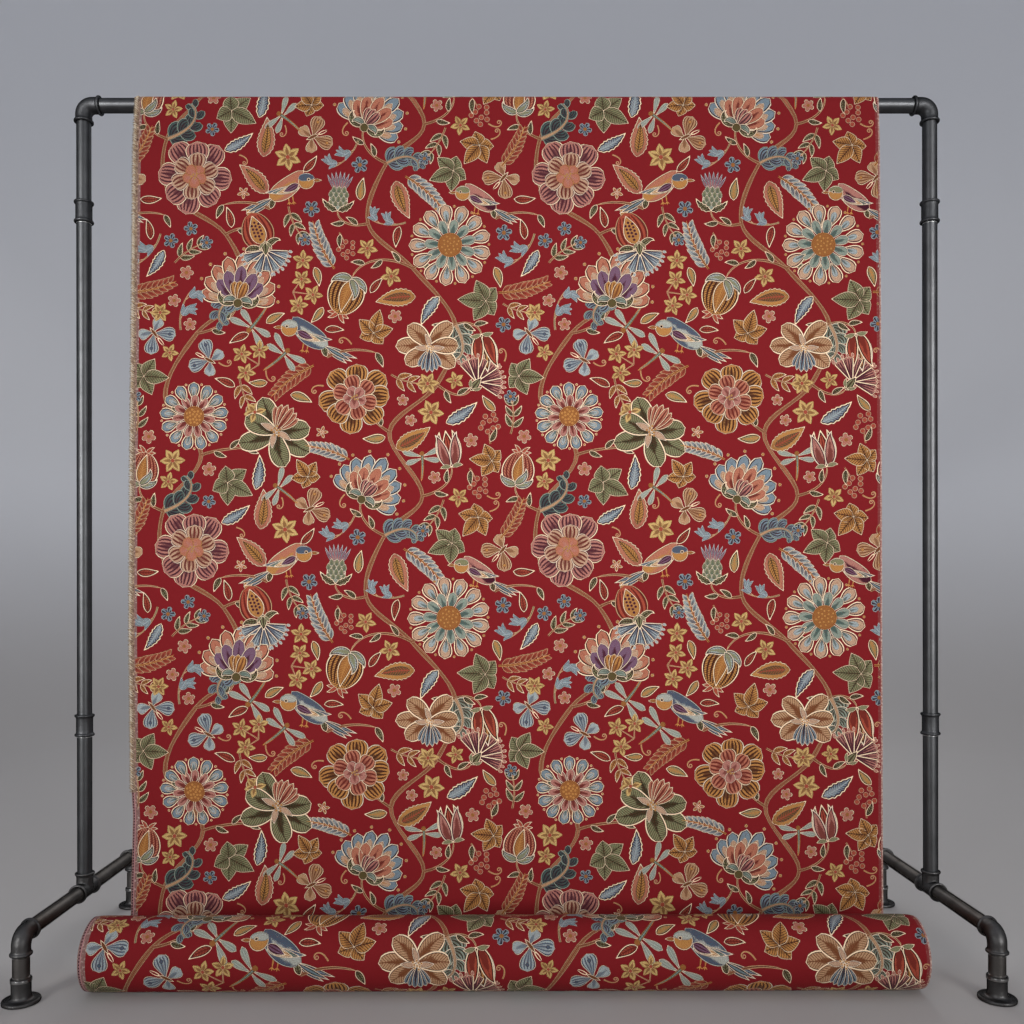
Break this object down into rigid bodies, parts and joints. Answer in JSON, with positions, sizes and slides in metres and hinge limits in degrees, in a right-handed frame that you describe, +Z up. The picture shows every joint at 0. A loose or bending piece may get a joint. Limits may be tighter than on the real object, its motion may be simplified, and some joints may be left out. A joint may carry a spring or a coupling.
{
  "type": "tapestry upholstery fabric bolt on a pipe rail stand",
  "caption": "Heavy figured tapestry cloth hung over the rail of a free-standing iron pipe stand, falling flat in front and running on into the roll that lies on the floor.",
  "frame": {"origin": "on the floor, midway between the two uprights and under the rail's axis", "axes": "+X to the right along the rail as seen from the front, +Y to the back, +Z up; the panel and the roll are on the -Y side"},
  "size_m": [1.662, 0.534, 1.6098],
  "materials": {
    "tapestry_cloth": "heavy jacquard weave, crimson ground with many-coloured floral figure, matt with a faint yarn sheen",
    "steel_pipe": "black lacquered steel pipe, satin",
    "iron_fitting": "black malleable iron casting, slightly rough"
  },
  "bodies": {
    "root": {"rail_pipe": "steel_pipe", "top_elbow_left": "iron_fitting", "upright_left_lower": "steel_pipe", "upright_left_middle": "steel_pipe", "upright_left_upper": "steel_pipe", "coupling_left_upper": "iron_fitting", "coupling_left_lower": "iron_fitting", "base_tee_left": "iron_fitting", "foot_pipe_left_front": "steel_pipe", "foot_elbow_left_front": "iron_fitting", "leg_nipple_left_front": "steel_pipe", "floor_flange_left_front": "iron_fitting", "foot_pipe_left_rear": "steel_pipe", "foot_elbow_left_rear": "iron_fitting", "leg_nipple_left_rear": "steel_pipe", "floor_flange_left_rear": "iron_fitting", "top_elbow_right": "iron_fitting", "upright_right_lower": "steel_pipe", "upright_right_middle": "steel_pipe", "upright_right_upper": "steel_pipe", "coupling_right_upper": "iron_fitting", "coupling_right_lower": "iron_fitting", "base_tee_right": "iron_fitting", "foot_pipe_right_front": "steel_pipe", "foot_elbow_right_front": "iron_fitting", "leg_nipple_right_front": "steel_pipe", "floor_flange_right_front": "iron_fitting", "foot_pipe_right_rear": "steel_pipe", "foot_elbow_right_rear": "iron_fitting", "leg_nipple_right_rear": "steel_pipe", "floor_flange_right_rear": "iron_fitting", "cloth_hanging": "tapestry_cloth", "cloth_roll": "tapestry_cloth"}
  },
  "joints": []
}
